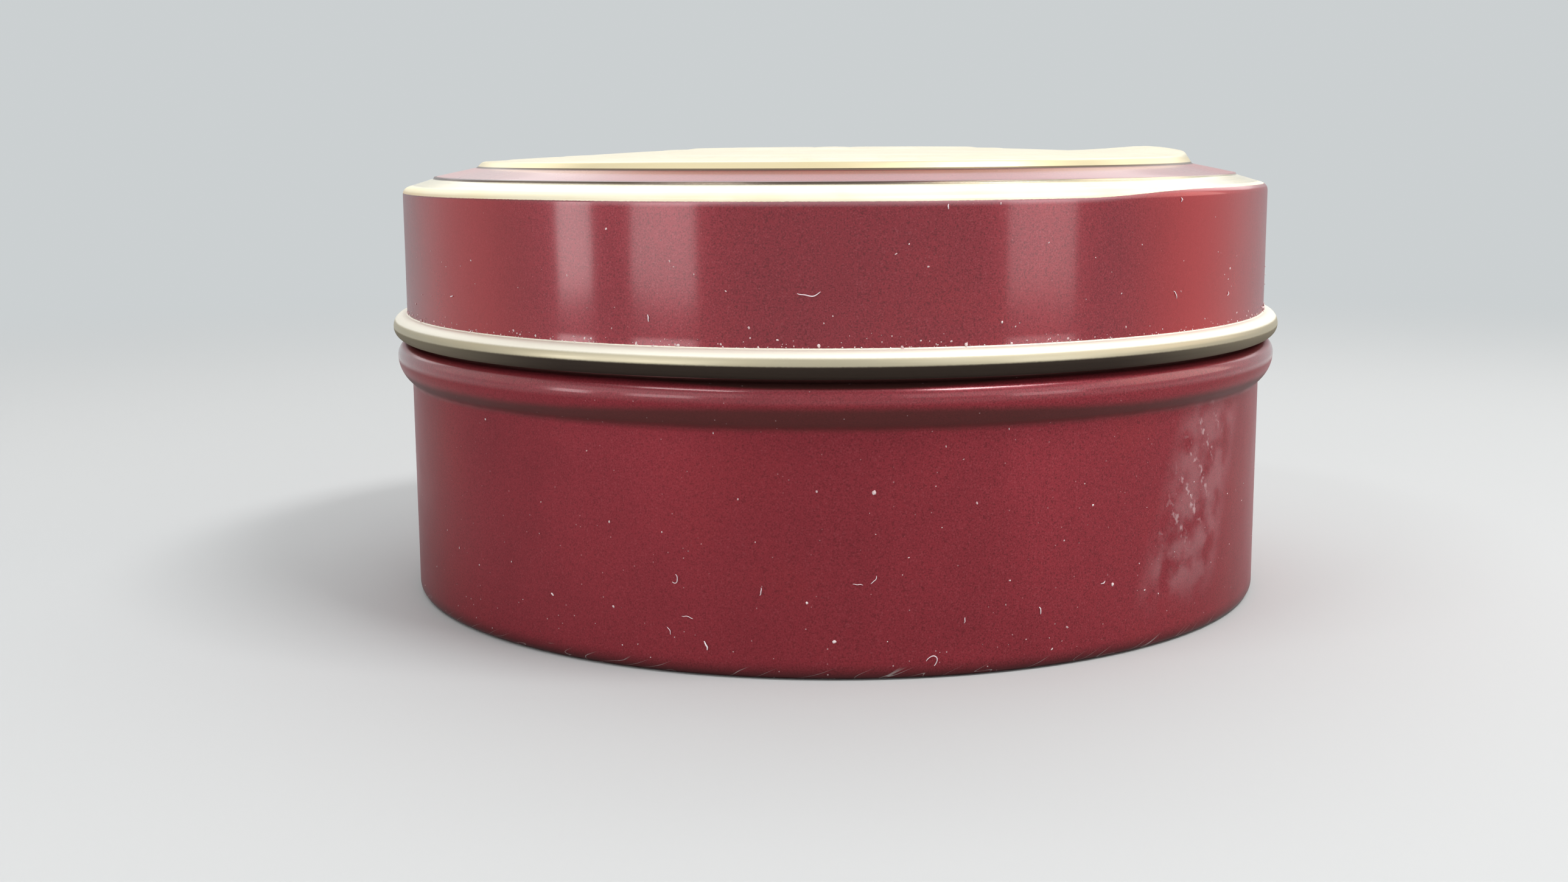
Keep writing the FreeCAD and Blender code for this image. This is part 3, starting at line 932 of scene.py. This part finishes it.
# %% Grains
ON_SURFACE = 0.02  # how far the middle of a grain is outside the wall
draws = np.random.default_rng(41)
ICO = (1 + math.sqrt(5)) / 2
GRAIN_CORNERS = np.array([
    (-1, ICO, 0), (1, ICO, 0), (-1, -ICO, 0), (1, -ICO, 0), (0, -1, ICO), (0, 1, ICO),
    (0, -1, -ICO), (0, 1, -ICO), (ICO, 0, -1), (ICO, 0, 1), (-ICO, 0, -1), (-ICO, 0, 1),
]) / math.hypot(1, ICO)
GRAIN_FACES = np.array([
    (0, 11, 5), (0, 5, 1), (0, 1, 7), (0, 7, 10), (0, 10, 11), (1, 5, 9), (5, 11, 4), (11, 10, 2),
    (10, 7, 6), (7, 1, 8), (3, 9, 4), (3, 4, 2), (3, 2, 6), (3, 6, 8), (3, 8, 9), (4, 9, 5),
    (2, 4, 11), (6, 2, 10), (8, 6, 7), (9, 8, 1),
])


def wall_frame(angle):
    """Directions on an upright wall at each angle: round the tin, up, and outwards."""
    return round_axis(1, angle + np.pi / 2, 0), round_axis(0, angle, 1), round_axis(1, angle, 0)


def grains(name, angle, height, radius, size, flat):
    """Grains of dust, one at each angle and height on a wall of one radius, turned at random.

    A corner's place is the grain's place, plus the icosahedron's corner times a random length along each of
    the wall's three directions. Flat is how far a grain stands out, as a share of its size.
    """
    sideways, upwards, outwards = wall_frame(angle)
    place = round_axis(radius + ON_SURFACE, angle, height)
    shape = GRAIN_CORNERS[None] * draws.uniform(0.7, 1.15, (len(angle), 12, 1))
    spin = draws.uniform(0, np.pi, len(angle))[:, None]
    long, short = size[:, None], (size * draws.uniform(0.35, 0.9, len(size)))[:, None]
    along = shape[..., 0] * long * np.cos(spin) - shape[..., 1] * short * np.sin(spin)
    over = shape[..., 0] * long * np.sin(spin) + shape[..., 1] * short * np.cos(spin)
    proud = shape[..., 2] * size[:, None] * flat
    points = (place[:, None] + along[..., None] * sideways[:, None] + over[..., None] * upwards[:, None]
              + proud[..., None] * outwards[:, None]).reshape(-1, 3)
    faces = (GRAIN_FACES[None] + 12 * np.arange(len(angle))[:, None, None]).reshape(-1, 3)
    piece = fill_mesh(name, points, [faces])
    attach(piece, "root")
    print(f"{name}: {len(angle)} grains, {len(faces)} triangles")
    return piece


# %% [markdown]
# ## Fibres
#
# A lint fibre is a thin six-sided tube along an arc that may end in a hook. Its path is drawn flat on the
# unrolled wall and then wrapped round the tin, which keeps it lying on the surface.

# %% Fibres
FIBRE_STEPS = 22
FIBRE_SIDES = 6
WIGGLE = 14  # degrees to each side of the smooth curve


def fibres(name, angle, height, radius, length, heading, curl, thick):
    """Fibres, one at each angle and height. Their heading turns by curl, in degrees, from end to end.

    The path adds up small steps whose direction is the heading plus curl times how far along it is. The tube
    is that path plus a circle in the plane of the outward direction and the one across the path.
    """
    along = np.linspace(0, 1, FIBRE_STEPS)
    wiggle = WIGGLE * np.sin(9 * along + heading[:, None])
    direction = np.radians(heading[:, None] + curl[:, None] * (along - 0.5) + wiggle)
    step = length[:, None] / (FIBRE_STEPS - 1)
    u = np.cumsum(np.cos(direction) * step, axis=1)
    v = np.cumsum(np.sin(direction) * step, axis=1)
    u -= u.mean(1, keepdims=True)
    v -= v.mean(1, keepdims=True)
    lift = thick[:, None] * (1.0 + 1.2 * np.sin(np.pi * along) ** 2)
    taper = thick[:, None] * (0.35 + 0.65 * np.sin(np.pi * along) ** 0.5)
    turn = 2 * np.pi * np.arange(FIBRE_SIDES) / FIBRE_SIDES
    across = np.cos(turn) * taper[..., None]
    far = radius + lift[..., None] + np.sin(turn) * taper[..., None]
    turned = angle[:, None, None] + (u[..., None] - np.sin(direction)[..., None] * across) / radius
    level = height[:, None, None] + v[..., None] + np.cos(direction)[..., None] * across
    points = round_axis(far, turned, level)
    number = np.arange(far.size).reshape(far.shape)
    ends = np.vstack([number[:, 0, ::-1], number[:, -1]])
    piece = fill_mesh(name, points.reshape(-1, 3), [closed_strips(number), ends])
    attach(piece, "root")
    print(f"{name}: {len(angle)} fibres, volume {signed_volume(piece) * 1000:.3f} cubic millimetres")
    return piece


# %% Scatter the dust
def speck_sizes(count, smallest, usual):
    """Many small grains and few large ones: the smallest size plus an exponential draw, cut off."""
    return np.clip(smallest + draws.exponential(usual, count), smallest, smallest + 5 * usual)


def settled(name, count, heights, radius, sizes, flat):
    """Grains at random angles, at heights that a function draws for as many as there are."""
    angle = draws.uniform(-np.pi, np.pi, count)
    height = heights(count)
    return grains(name, angle, height, radius, speck_sizes(count, *sizes), flat)


dust = [
    settled("dust_on_lid_wall", 110, lambda count: HEM_TOP + 0.5 + 13.0 * draws.beta(1.0, 1.7, count),
            LID_RADIUS, (0.05, 0.06), 0.35),
    settled("dust_above_hem", 620,
            lambda count: HEM_TOP + 0.06 + np.clip(draws.exponential(0.28, count), 0, 1.8),
            LID_RADIUS, (0.04, 0.055), 0.4),
    settled("dust_on_base", 190, lambda count: 1.0 + 22.0 * draws.beta(1.0, 1.5, count),
            BODY_RADIUS, (0.035, 0.045), 0.35),
]

# %% Fibres and larger specks, placed one by one
# Each is degrees to the right of the front, height in millimetres, length, heading, curl and thickness.
LID_LINT = np.array([
    (-2.5, 37.1, 2.3, 0, 62, 0.050), (-20.4, 34.7, 0.7, 95, 20, 0.055),
    (42.8, 35.9, 1.0, -55, -60, 0.045), (54.7, 35.3, 0.5, 60, 30, 0.05),
    (-52.0, 35.5, 0.6, 10, 60, 0.06), (43.4, 45.2, 0.45, 88, 60, 0.06),
    (12.3, 45.1, 0.5, 92, -40, 0.055), (118.0, 38.0, 1.9, 20, 80, 0.04),
    (-131.0, 40.5, 1.4, -30, 100, 0.04), (171.0, 35.5, 2.4, 5, -70, 0.045),
])
BODY_LINT = np.array([
    (-17.8, 9.4, 1.4, 60, 190, 0.045), (-16.5, 5.8, 1.2, -8, -40, 0.035),
    (-18.7, 4.3, 0.9, 115, 70, 0.04), (-14.3, 3.1, 1.0, 110, 60, 0.075), (-8.0, 8.7, 0.8, 80, 50, 0.05),
    (2.7, 9.5, 1.0, -4, -15, 0.03), (4.5, 9.9, 1.0, 50, 60, 0.035), (11.1, 1.9, 2.2, 140, 230, 0.05),
    (14.7, 5.6, 0.6, 85, 20, 0.05), (23.9, 5.9, 0.8, 100, 50, 0.055), (32.5, 7.8, 0.6, 20, 30, 0.05),
    (96.0, 12.0, 2.0, 40, 120, 0.04), (-104.0, 7.0, 1.7, -20, 150, 0.04),
    (160.0, 15.0, 2.6, 12, 50, 0.04), (-168.0, 5.0, 1.2, 75, 90, 0.05),
])
LID_SPECKS = np.array([
    (-17.8, 40.1, 0.17), (-47.2, 39.4, 0.15), (6.7, 40.8, 0.16), (8.1, 41.7, 0.10), (10.2, 39.6, 0.15),
    (54.7, 36.8, 0.13), (55.7, 36.0, 0.11), (18.2, 45.3, 0.16), (-9.0, 34.0, 0.17), (0.0, 35.1, 0.08),
    (34.7, 33.1, 0.15), (-25.0, 33.6, 0.12),
])
BASE_SPECKS = np.array([
    (0.1, 3.9, 0.24), (-1.8, 18.5, 0.14), (-13.2, 23.9, 0.15), (19.7, 24.0, 0.14), (12.4, 22.6, 0.12),
    (14.4, 21.3, 0.11), (16.0, 17.0, 0.18), (30.8, 15.8, 0.15), (39.2, 6.2, 0.16), (26.9, 12.6, 0.12),
    (8.3, 12.0, 0.12), (-45.8, 23.2, 0.14), (-29.0, 21.4, 0.12), (19.6, 6.8, 0.13),
])


def placed_fibres(name, rows, radius):
    angle, height, length, heading, curl, thick = rows.T
    return fibres(name, np.radians(angle), height, radius, length, heading, curl, thick)


def placed_specks(name, rows, radius):
    angle, height, size = rows.T
    return grains(name, np.radians(angle), height, radius, size, 0.35)


lint = [
    placed_fibres("lint_on_lid", LID_LINT, LID_RADIUS),
    placed_fibres("lint_on_base", BODY_LINT, BODY_RADIUS),
]
dust += [
    placed_specks("specks_on_lid", LID_SPECKS, LID_RADIUS),
    placed_specks("specks_on_base", BASE_SPECKS, BODY_RADIUS),
]

# %% Dust finish
def make_dust_finish(name, colour, paler):
    """Matt grey-white fluff, a little paler in some grains than in others."""
    finish = Finish(name)
    at = TinPlaces(finish)
    patch = finish.noise(at.spot, 0.9, detail=1.0)
    return finish.finish_with({
        "Base Color": finish.mix(colour, paler, patch.ease(0.4, 0.6)),
        "Roughness": patch * 0.2 + 0.7,
    })


for name, pieces, colour, paler in (
    ("dust", dust, (0.62, 0.42, 0.43), (0.84, 0.70, 0.70)),
    ("lint", lint, (0.80, 0.62, 0.66), (0.88, 0.78, 0.80)),
):
    fluff = make_dust_finish(name, colour, paler)
    for piece in pieces:
        piece.data.materials.append(fluff)

# %% [markdown]
# ## Floor and light
#
# The tin stands on a plain pale floor that curves up into a pale wall all round, like a photographer's
# sweep, so that metal has something even to reflect from every side. Away from the tin the sweep also glows
# to the camera and in reflections, by way of Light Path, which makes the background pale without putting
# more light on the tin. Close to the tin it doesn't, and there the floor keeps the shadow.

# %% Floor
FLOOR_RADIUS = 1700
COVE = 600
UNDER_FOOT = 0.02  # gap below the foot, so that the two don't lie in one plane
FLOOR_COLOUR = (0.54, 0.55, 0.55)
GLOW = (0.60, 0.63, 0.64)

sweep = np.vstack([
    [[0, 0]],
    refine(np.array([[30.0, 0], [FLOOR_RADIUS - COVE, 0]]), 120),
    arc((FLOOR_RADIUS - COVE, COVE), COVE, -90, 0, 16)[1:],
    [[FLOOR_RADIUS, 1500.0]],
])
radius, height, angle = around(sweep)
floor_faces = closed_strips(np.arange(radius.size).reshape(radius.shape))[:, ::-1]
floor_points = round_axis(radius, angle, height - UNDER_FOOT)
floor = fill_mesh("floor", floor_points.reshape(-1, 3), [floor_faces])

floor_finish = Finish("pale_floor")
floor.data.materials.append(floor_finish.finish_with({"Base Color": FLOOR_COLOUR, "Roughness": 0.8}))
away = TinPlaces(floor_finish).radius.ease(170, 440)
ray = floor_finish.node("ShaderNodeLightPath", {}, {})
camera_ray, glossy_ray, transmission_ray = ray[0], ray[3], ray[6]
seen = (camera_ray + glossy_ray + transmission_ray).clamped() * away
plain = Reading(floor_finish, floor_finish.shader.outputs[0])
glow = floor_finish.node("ShaderNodeEmission", {}, {"Color": GLOW, "Strength": 1.0})[0]
both = floor_finish.node("ShaderNodeMixShader", {}, {0: seen, 1: plain, 2: glow})[0]
floor_finish.feed(floor_finish.tree.nodes["Material Output"].inputs["Surface"], both)

# %% [markdown]
# Each light has one task. A broad one overhead and one behind give the even light and the cream bands on the
# gold. A warm one at each side makes the warm patches on the lid's wall, and two broad dim ones fill the
# front. A wall mirrors what stands low in front of it, so three short bright uprights show as soft bands in
# the lacquer, and stay too low to be seen in the top. Two high strips draw the bright line on the bead.

# %% Lights
def soft_light(name, place, size, radiance, colour=(1, 1, 1), aim=(0, 0, 30)):
    """A rectangle that shines at its aim. Its power is its radiance times pi times its area."""
    light = bpy.data.lights.new(name, "AREA")
    light.shape = "RECTANGLE"
    light.size, light.size_y = size[0] * MM, size[1] * MM
    light.energy = radiance * math.pi * light.size * light.size_y
    light.color = colour
    lamp = bpy.data.objects.new(name, light)
    bpy.context.scene.collection.objects.link(lamp)
    lamp.location = Vector(place) * MM
    lamp.rotation_mode = "QUATERNION"
    lamp.rotation_quaternion = (Vector(place) - Vector(aim)).to_track_quat("Z", "Y")
    lamp.visible_camera = False


def upright(name, bearing, distance, width, tall, radiance, colour=(1, 1, 1), lift=0):
    """A light standing upright over the floor, at a bearing in degrees to the right of the front."""
    middle = lift + tall / 2
    place = round_axis(distance, math.radians(bearing), middle)
    soft_light(name, place, (width, tall), radiance, colour, aim=(0, 0, middle))


def high_strip(name, bearing, rise, distance, size, radiance):
    """A strip in front of the tin that faces the bead, at a bearing and a rise, both in degrees."""
    up = math.radians(rise)
    height = BEAD_CROWN + distance * math.sin(up)
    place = round_axis(distance * math.cos(up), math.radians(bearing), height)
    soft_light(name, place, size, radiance, aim=(0, 0, BEAD_CROWN))


WARM = (1.0, 0.85, 0.74)
soft_light("overhead", (0, 200, 900), (1500, 1350), 0.68, aim=(0, 160, 0))
soft_light("behind", (0, 1000, 760), (2600, 900), 1.0, aim=(0, 0, 60))
upright("left_side", -100, 900, 650, 600, 0.3, WARM, lift=150)
upright("right_side", 96, 900, 700, 600, 1.4, WARM, lift=150)
upright("left_band", -64, 480, 85, 120, 5.0)
upright("left_wash", -40, 480, 135, 120, 3.6)
upright("right_wash", 50, 480, 150, 120, 2.6)
upright("left_fill", -48, 600, 600, 320, 0.9, lift=125)
upright("right_fill", 45, 600, 640, 320, 0.95, lift=125)
high_strip("right_high", 57, 57, 480, (210, 75), 26.0)
high_strip("left_high", -45, 50, 480, (170, 45), 10.0)

world = bpy.data.worlds.new("studio")
world.use_nodes = True
background = world.node_tree.nodes["Background"].inputs
background["Color"].default_value = (0.93, 0.97, 1.0, 1)
background["Strength"].default_value = 0.35
bpy.context.scene.world = world
bpy.context.scene.view_settings.view_transform = "Standard"
